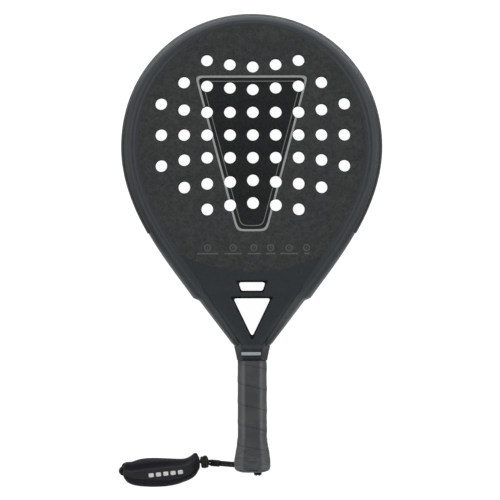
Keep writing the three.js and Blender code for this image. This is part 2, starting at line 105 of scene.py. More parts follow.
HOLE_MIDDLE_X = 1.2
HOLE_MIDDLE_Y = 107.5
HOLE_COLUMNS = ((22.5, 45, 67.5), (22.5, 46.6, 69.7), (22.5, 48.4, 73.8), (24.9, 52), (30.7,))
CORD_DIAMETER = 2.8

# The bridge's openings: lower and upper edge, half width at each, corner radius, roundness of the painted
# shade at its edge
OPENINGS = ((-47, -38.5, 10.5, 13.5, 2.5, 1.5), (-93, -54.5, 0, 18.5, 2.2, 1.2))
# Prints on the face: the panel in the same way, and x and the half width of each figure's label
PANEL = (12, 166, 15, 56, 9)
FIGURES = ((-43.8, 10.5), (-18.7, 8.5), (2, 6.5), (18.6, 4.8), (36.7, 8.5), (54.2, 2.6))
FIGURE_Y = -4.4
LABEL_Y = -10.2
# Dashes on the wristband, in a row that is tilted like it
DASHES = 5
DASH_TILT = radians(6.1)
DASH_START = -124.4
DASH_PITCH = 7.3
DASH_ROW = -218.1


# Camera: straight down from far above, so that the drilled holes show right through

CAMERA_HEIGHT = 7.0
VIEW_WIDTH = 0.49607
VIEW_CENTRE = (-0.0019, -0.0066)
CAMERA_ROLL = radians(-0.13)

camera_data = bpy.data.cameras.new("camera")
camera_data.sensor_width = 36
camera_data.lens = 36 * (CAMERA_HEIGHT - MID * MM) / VIEW_WIDTH
camera_data.clip_end = 50
scene.camera = added("camera", camera_data)
scene.camera.location = (*VIEW_CENTRE, CAMERA_HEIGHT)
scene.camera.rotation_euler = (0, 0, CAMERA_ROLL)
scene.view_settings.view_transform = "Standard"


# Mesh helpers

def add_layers(mesh, **layers):
    """Keeps numbers for each point of a mesh, for its material."""
    for name, values in layers.items():
        mesh.attributes.new(name, "FLOAT", "POINT").data.foreach_set("value", values)


def solid(name, verts, faces, sharp_angle=40, **layers):
    mesh = bpy.data.meshes.new(name)
    mesh.from_pydata([Vector(v) * MM for v in verts], [], faces)
    shell = bmesh.new()
    shell.from_mesh(mesh)
    bmesh.ops.recalc_face_normals(shell, faces=shell.faces)
    shell.to_mesh(mesh)
    shell.free()
    mesh.shade_smooth()
    mesh.set_sharp_from_angle(angle=radians(sharp_angle))
    add_layers(mesh, **layers)
    return added(name, mesh)


def ease(low, high, value):
    t = min(max((value - low) / (high - low), 0), 1)
    return t * t * (3 - 2 * t)


def skin(rows, start=0, joined=False):
    """Faces between rings of equally many points, the first of which is number start."""
    count = len(rows[0])
    faces = []
    for i in range(len(rows) if joined else len(rows) - 1):
        here, ahead = start + i * count, start + (i + 1) % len(rows) * count
        pairs = [(j, (j + 1) % count) for j in range(count)]
        faces += [(here + j, here + k, ahead + k, ahead + j) for j, k in pairs]
    return faces


def rows_mesh(rows, joined=False):
    """Verts and faces of a solid through rings, with its ends capped or joined."""
    verts = [p for row in rows for p in row]
    count, ids = len(rows[0]), tuple(range(len(verts)))
    ends = () if joined else (ids[count - 1::-1], ids[-count:])
    return verts, [*skin(rows, joined=joined), *ends]


def merged(parts):
    """Several lots of verts and faces as one."""
    verts, faces = [], []
    for part_verts, part_faces in parts:
        faces += [tuple(i + len(verts) for i in face) for face in part_faces]
        verts += part_verts
    return verts, faces


def inside_loops(points, loops):
    """Which points lie inside the first loop and outside the others."""
    odd = np.zeros(len(points), bool)
    px, py = points[:, 0, None], points[:, 1, None]
    for loop in loops:
        a = np.array(loop)
        b = np.roll(a, -1, axis=0)
        crosses = (a[:, 1] > py) != (b[:, 1] > py)
        rise = np.where(b[:, 1] == a[:, 1], 1, b[:, 1] - a[:, 1])
        at = a[:, 0] + (py - a[:, 1]) * (b[:, 0] - a[:, 0]) / rise
        odd ^= ((crosses & (px < at)).sum(axis=1) % 2).astype(bool)
    return odd


def fill_flat(loops, extra):
    """Triangles over the area inside the first loop and outside the others."""
    points = [Vector(p) for loop in (*loops, extra) for p in loop]
    edges, start = [], 0
    for loop in loops:
        edges += [(start + i, start + (i + 1) % len(loop)) for i in range(len(loop))]
        start += len(loop)
    places, _, triangles, origins, *_ = geometry.delaunay_2d_cdt(points, edges, [], 0, 1e-6)
    ids = [origin[0] for origin in origins]
    middles = np.array([[places[i] for i in t] for t in triangles]).mean(axis=1)
    keep = inside_loops(middles, loops)
    return [tuple(ids[i] for i in t) for t, kept in zip(triangles, keep) if kept]


def grid_points(loops, spacing):
    """Points of a square grid inside the first loop, clear of all the loops' points."""
    outer = np.array(loops[0])
    low, high = outer.min(axis=0) + spacing, outer.max(axis=0)
    xs, ys = (np.arange(low[k], high[k], spacing) for k in (0, 1))
    grid = np.array([(x, y) for x in xs for y in ys])
    near = np.array([p for loop in loops for p in loop])
    clear = np.array([np.hypot(*(near - p).T).min() > spacing * 0.4 for p in grid])
    return grid[inside_loops(grid, loops) & clear]


def slab(name, rims, height=None, spacing=None, sharp_angle=40):
    """A solid with holes. Each rim is a list of loops of (x, y, z) from the top face down to the bottom face.

    With height(x, y) and a spacing, the top face gets inner points at that height.
    """
    verts, faces, top_ids, bottom_ids = [], [], [], []
    for rim in rims:
        start, count = len(verts), len(rim[0])
        faces += skin(rim, start)
        verts += [p for loop in rim for p in loop]
        top_ids += range(start, start + count)
        bottom_ids += range(len(verts) - count, len(verts))
    tops, bottoms = ([[p[:2] for p in rim[end]] for rim in rims] for end in (0, -1))
    extra = grid_points(tops, spacing) if spacing else []
    top_ids += range(len(verts), len(verts) + len(extra))
    verts += [(x, y, height(x, y)) for x, y in extra]
    for ids, loops, inner in ((top_ids, tops, extra), (bottom_ids, bottoms, [])):
        faces += [tuple(ids[i] for i in t) for t in fill_flat(loops, inner)]
    return solid(name, verts, faces, sharp_angle)


def bezier(points, steps, first=0):
    """Points and unit tangents along a cubic or straight curve, from step first on."""
    if len(points) == 2:
        points = [points[0].lerp(points[1], third / 3) for third in range(4)]
    a, b, c, d = points
    found = []
    for i in range(first, steps + 1):
        t = i / steps
        place = (1 - t) ** 3 * a + 3 * (1 - t) ** 2 * t * b + 3 * (1 - t) * t * t * c + t ** 3 * d
        tangent = (1 - t) ** 2 * (b - a) + 2 * (1 - t) * t * (c - b) + t * t * (d - c)
        found.append((place, tangent.normalized()))
    return found


def spaced(line, count, endpoint=True):
    """Evenly spaced points along a line through many points."""
    along = np.concatenate([[0], np.cumsum(np.linalg.norm(np.diff(line, axis=0), axis=1))])
    wanted = np.linspace(0, along[-1], count, endpoint)
    return np.column_stack([np.interp(wanted, along, column) for column in line.T])


def spline(points, spacing):
    """Points about a spacing apart on a smooth curve through the given points."""
    knots = [Vector(p) for p in points]
    knots = [2 * knots[0] - knots[1], *knots, 2 * knots[-1] - knots[-2]]
    dense = []
    for p0, p1, p2, p3 in zip(knots, knots[1:], knots[2:], knots[3:]):
        d1, d2, d3 = ((b - a).length ** 0.5 for a, b in ((p0, p1), (p1, p2), (p2, p3)))
        m1 = ((p1 - p0) / d1 - (p2 - p0) / (d1 + d2) + (p2 - p1) / d2) * d2
        m2 = ((p2 - p1) / d2 - (p3 - p1) / (d2 + d3) + (p3 - p2) / d3) * d2
        dense += geometry.interpolate_bezier(p1, p1 + m1 / 3, p2 - m2 / 3, p2, 25)[:-1]
    line = np.array([*dense, knots[-2]])
    length = np.linalg.norm(np.diff(line, axis=0), axis=1).sum()
    return spaced(line, max(2, round(length / spacing) + 1))


def tube(path, radius_at, sides):
    """Rings of points round a path. radius_at(i, angle) gives the radius at a point of ring i."""
    tangents = [Vector(tangent).normalized() for tangent in np.gradient(path, axis=0)]
    angles = [2 * pi * j / sides for j in range(sides)]
    side = tangents[0].orthogonal()
    rows = []
    for i, (place, tangent) in enumerate(zip(path, tangents)):
        side = (side - tangent * side.dot(tangent)).normalized()
        other = tangent.cross(side)
        out = [side * cos(angle) + other * sin(angle) for angle in angles]
        rows.append([Vector(place) + way * radius_at(i, angle) for way, angle in zip(out, angles)])
    return rows


# Node helpers

class Field:
    """A number or a colour that varies over a surface: a node's output."""

    def __init__(self, tree, kind, inputs, output=0, **settings):
        node = tree.nodes.new("ShaderNode" + kind)
        for name, value in settings.items():
            setattr(node, name, value)
        for socket, value in inputs.items():
            if isinstance(value, Field):
                tree.links.new(value.socket, node.inputs[socket])
            else:
                node.inputs[socket].default_value = value
        self.tree, self.socket = tree, node.outputs[output]

    def __add__(self, other):
        return op("ADD", self, other)

    def __sub__(self, other):
        return op("SUBTRACT", self, other)

    def __rsub__(self, other):
        return op("SUBTRACT", other, self)

    def __mul__(self, other):
        return op("MULTIPLY", self, other)

    def __abs__(self):
        return op("ABSOLUTE", self)

    __radd__, __rmul__ = __add__, __mul__


def op(kind, *values, clamp=False):
    tree = next(value.tree for value in values if isinstance(value, Field))
    return Field(tree, "Math", dict(enumerate(values)), operation=kind, use_clamp=clamp)


def step(value, low, high):
    """0 at low and 1 at high, with a smooth change between them. High may be the lower one."""
    inputs = {"Value": value, "From Min": min(low, high), "From Max": max(low, high)}
    inputs.update({"To Min": low > high, "To Max": low < high})
    return Field(value.tree, "MapRange", inputs, interpolation_type="SMOOTHSTEP")


def below(value, edge, blur=0.1):
    return step(value, edge + blur, edge - blur)


def band(value, middle, half, blur=0.1):
    """1 within half of the middle."""
    return below(abs(value - middle), half, blur)


def highest(first, *others, round_by=None):
    for other in others:
        first = op("SMOOTH_MAX", first, other, round_by) if round_by else op("MAXIMUM", first, other)
    return first


def tapered(x, y, low, high, low_half, high_half, round_by):
    """Distance outside a symmetric four-sided shape, negative inside it."""
    lean = atan2(high_half - low_half, high - low)
    side = (abs(x) - low_half) * cos(lean) - (y - low) * sin(lean)
    return highest(side, y - high, low - y, round_by=round_by)


def block(x, y, middle, half, round_by, blur=0.2):
    """1 inside an upright rectangle."""
    outside = highest(abs(x - middle[0]) - half[0], abs(y - middle[1]) - half[1], round_by=round_by)
    return below(outside, 0, blur)


def linear(colour):
    """Linear colour from sRGB numbers of 0 to 255."""
    shares = [c / 255 for c in colour]
    return [c / 12.92 if c <= 0.04045 else ((c + 0.055) / 1.055) ** 2.4 for c in shares] + [1]


class Finish:
    """One procedural material, in the piece's own millimetres and sRGB colours."""

    def __init__(self, name, specular, **constants):
        self.material = bpy.data.materials.new(name)
        self.material.use_nodes = True
        self.tree = self.material.node_tree
        self.shader = self.tree.nodes["Principled BSDF"]
        for socket, value in {"Specular IOR Level": specular, **constants}.items():
            self.shader.inputs[socket.replace("_", " ")].default_value = value
        self.place = Field(self.tree, "TexCoord", {}, "Object")
        self.place = self.scaled((1 / MM,) * 3)
        self.colour = None

    def scaled(self, scale):
        return Field(self.tree, "VectorMath", {0: self.place, 1: scale}, operation="MULTIPLY")

    def axes(self):
        return [Field(self.tree, "SeparateXYZ", {0: self.place}, axis) for axis in range(3)]

    def layer(self, name):
        return Field(self.tree, "Attribute", {}, "Fac", attribute_name=name)

    def texture(self, kind, output, size, stretch, **inputs):
        place = self.scaled([1 / (size * s) for s in stretch])
        return Field(self.tree, kind, {"Vector": place, "Scale": 1, **inputs}, output)

    def noise(self, size, detail=3, stretch=(1, 1, 1), rough=0.55):
        """Cloudy noise from about 0 to 1, with features of a size in millimetres."""
        return self.texture("TexNoise", "Fac", size, stretch, Detail=detail, Roughness=rough)

    def cells(self, size, stretch=(1, 1, 1)):
        """Distance from the nearest of many scattered points, as a share of the size."""
        return self.texture("TexVoronoi", "Distance", size, stretch)

    def coat(self, mask, over, under=None):
        """Puts a colour where the mask is 1, over the colour so far or over another one."""
        inputs = {0: mask, 6: linear(under) if under else self.colour, 7: linear(over)}
        self.colour = Field(self.tree, "Mix", inputs, 2, data_type="RGBA")

    def paint(self, roughness, *bumps):
        """Links the looks. Each bump is a field and its height in millimetres."""
        below_it = {}
        for height, depth in bumps:
            bump = Field(self.tree, "Bump", {"Height": height, "Distance": depth * MM, **below_it})
            below_it = {"Normal": bump}
        looks = {"Base Color": self.colour, "Roughness": op("ADD", roughness, 0, clamp=True), **below_it}
        for socket, field in looks.items():
            self.tree.links.new(field.socket, self.shader.inputs[socket])
        return self.material


# Materials

def lacquer(name, tone, low_tone, recess_shade_tone=None):
    """Satin lacquer over carbon, with a faint cloud, fine scratches and painted highlights on the throat's
    flanks.

    A recess tone is painted shade on the bevels of the openings. Without one, the rim gets painted shade
    along its outer edge and painted highlights along lines of its top and toward the tip.
    """
    m = Finish(name, 0.22)
    x, y, _ = m.axes()
    cloud = m.noise(34, 2)
    speck = m.noise(0.7, 2)
    scratch = m.noise(1.1, 2, (1, 16, 16))
    m.coat(step(y, -100, 10), tone, low_tone)
    throat_run = (Vector(STEP_LOW) - Vector(THROAT_TOP)).normalized()
    inside = (y - THROAT_TOP[1]) * throat_run.x - (abs(x) - THROAT_TOP[0]) * throat_run.y
    # Painted highlights on the throat's flanks, brighter on the right side, and a fainter one along the
    # throat's sides
    flank_highlight = step(inside, 16, 9) * step(y, -38, -60) * (0.35 + 0.65 * step(y, -92, -74)) * step(y, -108, -98)
    m.coat(flank_highlight * (0.4 + 0.35 * step(x, -20, 20)), (96, 102, 101))
    m.coat(step(inside, 22, 10) * step(y, -45, -62) * 0.2, (74, 79, 82))
    m.coat(step(cloud, 0.3, 0.75) * 0.35, (58, 60, 58))
    m.coat(step(speck, 0.5, 0.72) * 0.2, (92, 96, 99))
    m.coat(step(m.noise(2.6, 2), 0.5, 0.72) * 0.22, (44, 47, 49))
    if recess_shade_tone:
        # Painted shade over the bevels of the openings
        slot, triangle = (tapered(x, y, *sides, soft) for *sides, _, soft in OPENINGS)
        m.coat(below(op("MINIMUM", slot, triangle), 1.7, 0.25), recess_shade_tone)
    else:
        inward = m.layer("inward")
        rim_share = step(y, -22, 6)
        crown = step(y, 120, 205) * step(inward, 9, 1)
        ridge_highlights = highest(band(inward, 8.2, 1, 1) * step(y, 200, 150), band(inward, 12, 0.6, 0.6) * rim_share)
        # Painted shade along the rim's outer edge, deeper on the left side
        m.coat(below(inward, 5, 1.6) * rim_share * 0.6, (30, 33, 36))
        m.coat(below(inward, 7, 2.5) * rim_share * step(x, -75, -105) * 0.5, (30, 33, 36))
        # Painted highlights along two lines of the rim's top
        m.coat(ridge_highlights * 0.5, (82, 88, 92))
        # Painted highlight on the rim's outer part toward the tip
        m.coat(crown * 0.7, (112, 118, 121))
    wear = step(scratch, 0.63, 0.72) * 0.25
    m.coat(wear * 0.5, (110, 114, 116))
    return m.paint(0.42 + cloud * 0.12 + wear * 0.3, (speck, 0.03), (m.noise(6, 2), 0.05))


def figure(x, y, place, half, blocks):
    """A plain ring with a bar inside, over a label of blocks."""
    reach = op("SQRT", (x - place) * (x - place) + (y - FIGURE_Y) * (y - FIGURE_Y))
    bar = block(x, y, (place, FIGURE_Y), (0.4, 1.1), 0.2, 0.25)
    label = block(x, y, (place, LABEL_Y), (half, 0.6), 0.3, 0.25)
    return highest(highest(band(reach, 2.9, 0.6, 0.25), bar) * 0.6, label * blocks)


def grit(name, printed):
    """Sanded face: a fine rough grain with warm and cool clouds, and plain prints on the front."""
    m = Finish(name, 0.3)
    x, y, _ = m.axes()
    grain = m.noise(0.55, 2, rough=0.7)
    coarse = m.noise(2.2, 2)
    m.coat(step(m.noise(46, 2), 0.35, 0.65), (62, 65, 63), (59, 62, 64))
    m.coat(step(grain, 0.3, 0.75) * 0.6, (78, 79, 77))
    m.coat(step(coarse, 0.48, 0.68) * 0.6, (38, 40, 40))
    m.coat(step(m.noise(5, 3, rough=0.6), 0.35, 0.65) * 0.5, (44, 46, 46))
    gloss = 0.62 + grain * 0.2
    if printed:
        panel = tapered(x, y, *PANEL)
        ink = below(panel, 0, 0.2)
        m.coat(ink * (0.97 - 0.3 * step(coarse, 0.4, 0.7)), (22, 25, 26))
        stripes = highest(band(panel, -1, 1), band(panel, -5.6, 0.35) * 0.55)
        m.coat(stripes * (0.86 + 0.14 * m.noise(1.4, 1, (1, 5, 1))), (172, 175, 174))
        blocks = 0.55 + 0.45 * step(op("SINE", x * 3.3), -0.2, 0.4)
        figures = highest(*[figure(x, y, place, half, blocks) for place, half in FIGURES])
        m.coat(figures * (0.28 + 0.2 * grain), (150, 152, 152))
        gloss = gloss - ink * 0.12
    return m.paint(gloss, (grain, 0.1), (coarse, 0.06))


def foam():
    m = Finish("foam_core", 0.2)
    pores = m.cells(0.9)
    m.coat(step(pores, 0.2, 0.55), (40, 40, 42), (20, 20, 22))
    return m.paint(0.85 + pores * 0.1, (pores, 0.12))


def film():
    """Clear protective film over the rim, with bright scuffs where the racket touches the ground, and a
    painted highlight along its edges near the tip.
    """
    m = Finish("protector_film", 0.08)
    _, y, z = m.axes()
    scuff = m.noise(0.9, 4, (7, 3, 0.8), 0.65)
    fine = m.noise(0.8, 2)
    crown = step(y, 80, 205)
    lip = crown * step(abs(z - MID), 9, 16)
    worn = step(scuff + crown * 0.05 + lip * 0.05, 0.64, 0.7) * (0.15 + 0.25 * crown + 0.4 * lip)
    m.coat(step(m.noise(26, 2), 0.35, 0.7), (40, 44, 46), (32, 36, 38))
    # Painted highlight: a plain lighter band along the film's edges near the tip
    m.coat(lip * 0.8, (122, 127, 130))
    m.coat(worn, (160, 164, 164))
    return m.paint(0.36 + 0.3 * worn + 0.1 * fine, (scuff, 0.1), (fine, 0.03))


def tape():
    """Tacky grip tape, finely grained and wrinkled at the butt, with painted shade along the overlaps' seams
    and on the side facets, and painted highlights near the facets' edges.
    """
    m = Finish("grip_tape", 0.3)
    x, y, _ = m.axes()
    grain = m.noise(0.9, 3, rough=0.65)
    dimple = m.cells(1.5)
    cloud = m.noise(18, 2)
    overlap = m.layer("seam")
    wrinkle = m.noise(1.3, 2, (7, 1, 7)) + m.noise(11, 2) * 0.4
    crumpled = step(y, -194, -206)
    m.coat(step(cloud, 0.3, 0.7), (82, 84, 84), (73, 74, 76))
    m.coat(step(grain, 0.5, 0.8) * 0.4, (92, 93, 94))
    # Painted shade: a dark line along each seam, under the overlapping edge of the tape
    m.coat(overlap * 0.4, (30, 31, 32))
    # Painted shade on the side facets
    m.coat(m.layer("side") * 0.34, (38, 38, 38))
    # Painted highlight along the edges between the top facet and the sloped ones
    m.coat(band(abs(x), 9, 1, 1.5) * step(y, -205, -190) * 0.25, (116, 117, 118))
    m.coat(step(wrinkle, 0.72, 0.82) * crumpled * 0.3, (56, 57, 58))
    m.coat(step(wrinkle, 0.68, 0.58) * crumpled * 0.25, (102, 103, 104))
    m.coat(step(y, -217, -223) * 0.5, (108, 109, 110))
    bumps = ((grain, 0.06), (dimple, 0.07), (cloud, 0.2), (wrinkle * crumpled, 0.3))
    return m.paint(0.5 + grain * 0.15 + overlap * 0.2, *bumps)


def rubber():
    """Collar: dark satin rubber, a plain light bar on its front and a finely ribbed lower band, with a
    painted highlight at its upper end and painted shade on its sides.
    """
    m = Finish("collar_rubber", 0.4)
    x, y, z = m.axes()
    speck = m.noise(0.8, 2)
    ribbed = below(y, -111.9, 0.3)
    ribs = op("SINE", y * 5.2) * 0.5 + 0.5
    bar = block(x, y, (-1, -109.3), (9.6, 1.55), 1.2) * step(z, 25, 27)
    m.coat(step(m.noise(7, 2), 0.3, 0.7), (48, 52, 55), (42, 46, 50))
    # Painted highlight at the collar's upper end
    m.coat(step(y, -106, -103) * 0.2, (60, 65, 68))
    m.coat(ribbed * 0.7, (36, 35, 38))
    # Painted shade on the collar's sides
    m.coat(step(abs(x), 9.5, 11.5) * 0.6, (31, 34, 38))
    m.coat(bar * (0.7 + speck * 0.3), (197, 205, 210))
    return m.paint(0.48 + speck * 0.16, (speck, 0.05), (ribs * ribbed, 0.22))


def plastic(name, tone, light_tone, size=1.2, rough=0.5):
    m = Finish(name, 0.4)
    speck = m.noise(size, 3, rough=0.7)
    m.coat(step(m.noise(size * 9, 2), 0.3, 0.7), light_tone, tone)
    m.coat(step(speck, 0.6, 0.8) * 0.25, (96, 97, 98))
    return m.paint(rough + speck * 0.18, (speck, 0.07))


def fabric(name):
    """Wristband: dark spacer mesh, a knitted panel between the sewn lines and a row of plain dashes, with
    painted shade in the crease beside the fold and along the seam line.
    """
    m = Finish(name, 0.2, Sheen_Weight=0.05, Sheen_Roughness=0.5)
    x, y, z = m.axes()
    panel, valley = m.layer("panel"), m.layer("valley")
    mesh = m.cells(1.25, (1, 0.8, 1))
    knit = op("SINE", x * 9 + m.noise(3, 1) * 2) * op("SINE", y * 7)
    cloud = m.noise(9, 3)
    open_mesh = step(mesh, 0.12, 0.45)
    m.coat(open_mesh, (41, 42, 47), (22, 23, 26))
    m.coat(panel, (53, 54, 56))
    m.coat(step(knit, 0.2, 0.9) * panel * 0.3, (40, 41, 43))
    m.coat(step(cloud, 0.4, 0.75) * 0.25, (30, 31, 34))
    # Painted shade in the crease beside the fold and along the seam line
    m.coat(valley * 0.7, (24, 24, 31))
    along = x * cos(DASH_TILT) + y * sin(DASH_TILT)
    across = y * cos(DASH_TILT) - x * sin(DASH_TILT)
    middles = [(DASH_START + DASH_PITCH * number, DASH_ROW) for number in range(DASHES)]
    dashes = highest(*[block(along, across, middle, (2.5, 2), 1.6, 0.18) for middle in middles])
    m.coat(dashes * step(z, 7, 8) * (0.86 + 0.14 * open_mesh), (242, 243, 243))
    return m.paint(0.78 + cloud * 0.15, (mesh * (1 - panel), 0.28), (knit * panel, 0.05), (cloud, 0.3))


def thread():
    m = Finish("band_thread", 0.25, Sheen_Weight=0.1)
    twist = m.noise(0.35, 2, (3, 1, 1))
    m.coat(twist, (66, 67, 70), (40, 41, 44))
    return m.paint(0.6 + twist * 0.2, (twist, 0.08))


def braid():
    """Polyester cord: crossing yarns, with painted shade between them."""
    m = Finish("cord_braid", 0.25, Sheen_Weight=0.15, Sheen_Roughness=0.5)
    fibre = m.noise(0.28, 2, (3, 1, 1))
    # Painted shade between the yarns, lighter on top of them
    m.coat(m.layer("relief"), (60, 61, 57), (23, 24, 22))
    m.coat(step(fibre, 0.5, 0.8) * 0.35, (66, 68, 68))
    return m.paint(0.72 + fibre * 0.2, (fibre, 0.07))


# Outline of the frame from the right leg's end to the tip: straight lines or cubic curves, and their steps

LEG_CORNER = (LEG_X, LEG_TOP_Y)
WIDEST = (HALF_WIDTH, WIDEST_Y)
OUTLINE = (
    (((LEG_X, LEG_END_Y), LEG_CORNER), 6),
    ((LEG_CORNER, (LEG_X, -109), (18.9, -105.5), THROAT_TOP), 18),
    ((THROAT_TOP, STEP_LOW), 14),
    ((STEP_LOW, STEP_HIGH), 10),
    ((STEP_HIGH, (78.6, -25), (HALF_WIDTH, 31.8), WIDEST), 72),
    ((WIDEST, (HALF_WIDTH, 169.5), (72.7, TIP_Y), (0, TIP_Y)), 72),
)
# Places along the outline, each with the direction out of the racket
RIGHT = []
for points, steps in OUTLINE:
    curve = bezier([Vector(p) for p in points], steps, min(len(RIGHT), 1))
    RIGHT += [(place.x, place.y, tangent.y, -tangent.x) for place, tangent in curve]
WHOLE = RIGHT + [(-x, y, -out_x, out_y) for x, y, out_x, out_y in reversed(RIGHT[:-1])]


def value_at(table, place, column=1):
    """A column of a table at a place, between the places in its first column."""
    return float(np.interp(place, [row[0] for row in table], [row[column] for row in table]))


def frame_width(y):
    if y > WIDEST_Y:
        return SIDE_WIDTH - (SIDE_WIDTH - TIP_WIDTH) * ((y - WIDEST_Y) / (TIP_Y - WIDEST_Y)) ** 3
    return value_at(((LEG_TOP_Y, LEG_WIDTH), (-100, 10.5), (-60, 13.5), (-5, SIDE_WIDTH)), y)


def side_recess(y):
    """How far the throat's sides are set in, below the step where the head's rim ends."""
    return value_at(((LEG_TOP_Y, 0), (-104, STEP_DEPTH)), y) * ease(-53.5, -59.3, y)


def half_height(y):
    return value_at(((LEG_TOP_Y, LEG_HALF_HEIGHT), (-100, 14.6), (-48, MID)), y)


# Half of the frame's section, from the face round to the middle of the rim: share of the width, share
# of the half height, and how far the line is let into the rim's flat top
PROFILE = (
    (1, 1, 0.3), (0.985, 1, 0.16), (0.95, 1, 0.1), (0.915, 1, 0.07), (0.895, 1, 0.03), (0.87, 1, 0),
    (0.82, 1, 0), (0.79, 1, 0.04), (0.765, 1, 0.14), (0.745, 1, 0.24), (0.72, 1, 0.3), (0.66, 1, 0.3),
    (0.62, 1, 0.26), (0.585, 0.998, 0.18), (0.56, 0.995, 0.06), (0.52, 0.988, 0), (0.46, 0.972, 0),
    (0.4, 0.954, 0), (0.34, 0.934, 0), (0.285, 0.91, 0), (0.25, 0.89, 0), (0.2, 0.85, 0), (0.15, 0.795, 0),
    (0.1, 0.725, 0), (0.06, 0.645, 0), (0.03, 0.56, 0), (0.01, 0.48, 0), (0, 0.4, 0), (0, 0.28, 0),
    (0, 0.14, 0), (0, 0, 0),
)
FILM_PROFILE = [entry for entry in PROFILE if entry[0] <= 0.1]
FILM_START_Y = 9.2


def frame_section(y, profile=PROFILE):
    """The whole section, as (inward from the rim, height above the middle)."""
    recess, height = side_recess(y), half_height(y)
    width, depth = frame_width(y) - recess, ease(-22, 16, y)
    upper = [(recess + share * width, rise * height - drop * depth) for share, rise, drop in profile]
    return upper + [(inward, -z) for inward, z in reversed(upper[:-1])]


def film_section(y):
    """The film over the rim, thinner toward its edges."""
    line = np.array(frame_section(y, FILM_PROFILE))
    run = np.gradient(line, axis=0)
    run /= np.linalg.norm(run, axis=1)[:, None]
    out = np.column_stack([run[:, 1], -run[:, 0]])
    numbers = np.arange(len(line))
    thickness = 0.3 + 0.62 * np.minimum(np.minimum(numbers, numbers[::-1]) / 2, 1)
    return np.concatenate([line + out * thickness[:, None], (line + out * 0.1)[::-1]])


def placed(station, inward, z):
    x, y, out_x, out_y = station
    return (x - out_x * inward, y - out_y * inward, MID + z)


def along_outline(name, stations, section, **layers):
    rows = [[placed(s, inward, z) for inward, z in section(s[1])] for s in stations]
    return solid(name, *rows_mesh(rows), 45, **layers)


# Flat outlines of the hitting face and the bridge

def inner_line():
    """Inner edge of the frame's right side, a lap inside the frame."""
    points = [placed(s, frame_width(s[1]) - LAP, 0)[:2] for s in RIGHT]
    return [p for p in points if p[1] > BRIDGE_END_Y]


def split_at_arc(line, radius):
    """The line below and above the face's lower edge, with the crossing point in both."""
    beyond = [hypot(x, y - ARC_Y) - radius for x, y in line]
    cut = next(i for i, d in enumerate(beyond) if d <= 0)
    share = beyond[cut - 1] / (beyond[cut - 1] - beyond[cut])
    crossing = tuple(a + (b - a) * share for a, b in zip(line[cut - 1], line[cut]))
    low, high = ([p for p in part if dist(p, crossing) > 1] for part in (line[:cut], line[cut:]))
    return low + [crossing], [crossing] + high


def arc_points(start, radius, steps):
    """Points between start and its mirror image, along the face's lower edge."""
    reach = atan2(start[0], ARC_Y - start[1])
    angles = [reach * (1 - 2 * (i + 1) / steps) for i in range(steps - 1)]
    return [(radius * sin(a), ARC_Y - radius * cos(a)) for a in angles]


def mirrored(points):
    return [(-x, y) for x, y in reversed(points)]


def face_outline():
    right = split_at_arc(inner_line(), ARC_RADIUS)[1]
    return right + mirrored(right[:-1]) + arc_points(right[0], ARC_RADIUS, 70)[::-1]


def bridge_outline():
    radius = ARC_RADIUS - LAP
    right = split_at_arc(inner_line(), radius)[0]
    return right + arc_points(right[-1], radius, 60) + mirrored(right)


def shrunk(loop, distance):
    """A counter-clockwise loop moved inward by a distance."""
    points = np.array(loop)
    arriving = points - np.roll(points, 1, axis=0)
    arriving /= np.linalg.norm(arriving, axis=1)[:, None]
    leaving = np.roll(arriving, -1, axis=0)
    before, after = (np.column_stack([-d[:, 1], d[:, 0]]) for d in (arriving, leaving))
    miter = (before + after) / (1 + (before * after).sum(axis=1))[:, None]
    return points + miter * distance


def rounded(corners, radius, steps=6):
    points = []
    for i, corner in enumerate(corners):
        corner = Vector(corner)
        back, ahead = ((Vector(corners[j % len(corners)]) - corner).normalized() for j in (i - 1, i + 1))
        reach = radius / tan(back.angle(ahead) / 2)
        start, end = corner + back * reach, corner + ahead * reach
        for k in range(steps + 1):
            t = k / steps
            points.append(tuple((1 - t) ** 2 * start + 2 * (1 - t) * t * corner + t * t * end))
    return points


def holes(sides=36):
    angles = [2 * pi * (i + 0.5) / sides for i in range(sides)]
    for column, offsets in enumerate(HOLE_COLUMNS):
        for side in sorted({-column, column}):
            for offset in (0, *offsets, *(-o for o in offsets)):
                x, y = HOLE_MIDDLE_X + side * HOLE_PITCH_X, HOLE_MIDDLE_Y + offset
                yield [(x + HOLE_RADIUS * cos(a), y + HOLE_RADIUS * sin(a)) for a in angles]


def opening_loop(low, high, low_half, high_half, radius):
    """An opening of the bridge, which ends in a single corner where it has no width."""
    lower = ((-low_half, low), (low_half, low)) if low_half else ((0, low),)
    return rounded((*lower, (high_half, high), (-high_half, high)), radius)


# Head and bridge. A bevel is a list of steps, each a distance inward and a drop.

FACE_BEVEL = ((0.1, 0), (0, 0.1))
HOLE_BEVEL = ((-0.4, 0), (-0.14, 0.1), (0, 0.4))
OPENING_BEVEL = ((-1.9, 0), (-1.6, 0.12), (-1.2, 0.6), (-0.6, 1.5), (-0.2, 2.1), (0, 2.9))
CORE_GAP = 0.05


def rim(loop, bevel, height, foot):
    """Loops of a rim that starts at height(x, y), follows the bevel and goes down to the foot."""
    rows = []
    for distance, drop in bevel:
        rows.append([(x, y, height(x, y) - drop) for x, y in shrunk(loop, distance)])
    rows.append([(x, y, foot) for x, y in shrunk(loop, bevel[-1][0])])
    return rows


def flipped(obj):
    """Mirrors a mesh to the back of the racket."""
    obj.data.transform(Matrix.Translation((0, 0, THICKNESS * MM)) @ Matrix.Scale(-1, 4, (0, 0, 1)))
    obj.data.flip_normals()
    return obj


def face_skin(name):
    loops = [(face_outline(), FACE_BEVEL)] + [(hole, HOLE_BEVEL) for hole in holes()]
    return slab(name, [rim(loop, bevel, lambda x, y: THICKNESS, THICKNESS - SKIN) for loop, bevel in loops])


